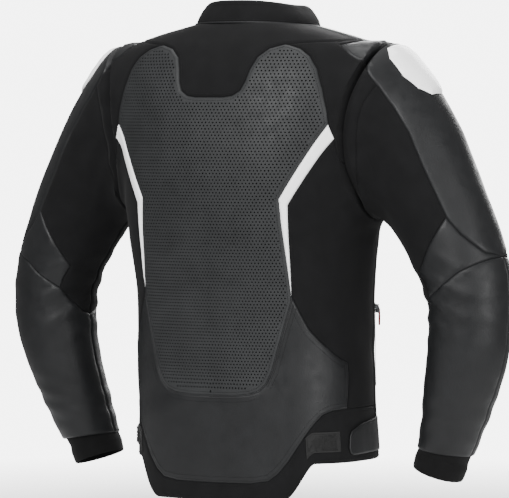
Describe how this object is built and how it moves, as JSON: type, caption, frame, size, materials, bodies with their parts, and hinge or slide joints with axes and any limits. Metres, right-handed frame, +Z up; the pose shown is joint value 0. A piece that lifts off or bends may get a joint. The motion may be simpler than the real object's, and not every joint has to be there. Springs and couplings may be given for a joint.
{
  "type": "riding jacket",
  "caption": "Short sport riding jacket in black leather and stretch textile, zipped up, with a perforated back panel, white reflective stripes, hard shoulder sliders and waist tabs",
  "frame": {"origin": "middle of the neck opening, where the wearer or a hanger holds the jacket up", "axes": "+Z up, -Y is the front of the jacket, +X is the wearer's left"},
  "size_m": [0.7992, 0.2842, 0.699],
  "materials": {
    "black_leather": "fine grain, mild sheen",
    "perforated_leather": "perforated, fine grain, mild sheen",
    "stretch_textile": "matt, tight weave",
    "cuff_knit": "matt, smooth neoprene",
    "reflective_print": "satin, retroreflective film",
    "white_plastic": "satin, moulded",
    "hook_tape": "matt, hook side of hook-and-loop",
    "zip_tape": "matt, woven",
    "armour_foam": "matt, moulded foam",
    "lining": "matt, mesh",
    "dark_metal": "dark nickel, satin",
    "pull_rubber": "matt",
    "red_pull": "matt"
  },
  "bodies": {
    "jacket": {"back_panel_perforated": "perforated_leather", "back_protector": "armour_foam", "back_shoulder_textile_left": "stretch_textile", "back_shoulder_textile_right": "stretch_textile", "body_lining": "lining", "collar": "stretch_textile", "elbow_gusset_left": "black_leather", "elbow_gusset_right": "black_leather", "front_leather_left": "black_leather", "front_leather_right": "black_leather", "hanger_loop": "lining", "hem_band": "stretch_textile", "hook_strip_left": "hook_tape", "hook_strip_right": "hook_tape", "lower_back_leather": "black_leather", "main_zip_tape_left": "zip_tape", "main_zip_tape_right": "zip_tape", "main_zip_teeth": "dark_metal", "neck_yoke": "stretch_textile", "pocket_zip_tape_left": "zip_tape", "pocket_zip_tape_right": "zip_tape", "reflective_stripe_left": "reflective_print", "reflective_stripe_right": "reflective_print", "shoulder_armour_left": "armour_foam", "shoulder_armour_right": "armour_foam", "shoulder_leather_left": "black_leather", "shoulder_leather_right": "black_leather", "shoulder_slider_left": "white_plastic", "shoulder_slider_right": "white_plastic", "side_panel_textile_left": "stretch_textile", "side_panel_textile_right": "stretch_textile", "upper_sleeve_textile_left": "stretch_textile", "upper_sleeve_textile_right": "stretch_textile"},
    "main_slider": {"main_zip_slider": "dark_metal"},
    "main_pull": {"main_zip_pull": "pull_rubber"},
    "forearm_left": {"forearm_leather_left": "black_leather", "cuff_left": "cuff_knit", "elbow_armour_left": "armour_foam"},
    "pocket_slider_left": {"pocket_zip_left_slider": "dark_metal"},
    "pocket_pull_left": {"pocket_zip_left_pull": "red_pull"},
    "waist_tab_left": {"waist_tab_left": "black_leather"},
    "forearm_right": {"forearm_leather_right": "black_leather", "cuff_right": "cuff_knit", "elbow_armour_right": "armour_foam"},
    "pocket_slider_right": {"pocket_zip_right_slider": "dark_metal"},
    "pocket_pull_right": {"pocket_zip_right_pull": "red_pull"},
    "waist_tab_right": {"waist_tab_right": "black_leather"}
  },
  "joints": [
    {"name": "main_zip_slide", "type": "slide", "parent": "jacket", "child": "main_slider", "axis": [0, -0.0748, -0.9972], "range_m": [0, 0.52]},
    {"name": "main_pull_hinge", "type": "hinge", "parent": "main_slider", "child": "main_pull", "pos_m": [0, -0.09458, -0.023], "axis": [-1, 0, 0], "range_deg": [0, 150]},
    {"name": "elbow_left", "type": "hinge", "parent": "jacket", "child": "forearm_left", "pos_m": [0.336, 0, -0.364], "axis": [0, 1, 0], "range_deg": [-20, 10], "stiffness_Nm_per_rad": 2, "deforming": ["elbow_gusset_left"]},
    {"name": "pocket_zip_slide_left", "type": "slide", "parent": "jacket", "child": "pocket_slider_left", "axis": [-0.0147, -0.0461, -0.9988], "range_m": [0, 0.095]},
    {"name": "pocket_pull_hinge_left", "type": "hinge", "parent": "pocket_slider_left", "child": "pocket_pull_left", "pos_m": [0.15452, -0.07603, -0.40009], "axis": [-0.639, -0.7692, 0], "range_deg": [0, 120]},
    {"name": "waist_tab_peel_left", "type": "hinge", "parent": "jacket", "child": "waist_tab_left", "pos_m": [0.1645, -0.0485, -0.576], "axis": [0, 0, -1], "range_deg": [0, 28]},
    {"name": "elbow_right", "type": "hinge", "parent": "jacket", "child": "forearm_right", "pos_m": [-0.336, 0, -0.364], "axis": [0, -1, 0], "range_deg": [-20, 10], "stiffness_Nm_per_rad": 2, "deforming": ["elbow_gusset_right"]},
    {"name": "pocket_zip_slide_right", "type": "slide", "parent": "jacket", "child": "pocket_slider_right", "axis": [0.0147, -0.0461, -0.9988], "range_m": [0, 0.095]},
    {"name": "pocket_pull_hinge_right", "type": "hinge", "parent": "pocket_slider_right", "child": "pocket_pull_right", "pos_m": [-0.15452, -0.07603, -0.40009], "axis": [-0.639, 0.7692, 0], "range_deg": [0, 120]},
    {"name": "waist_tab_peel_right", "type": "hinge", "parent": "jacket", "child": "waist_tab_right", "pos_m": [-0.1645, -0.0485, -0.576], "axis": [0, 0, 1], "range_deg": [0, 28]}
  ]
}
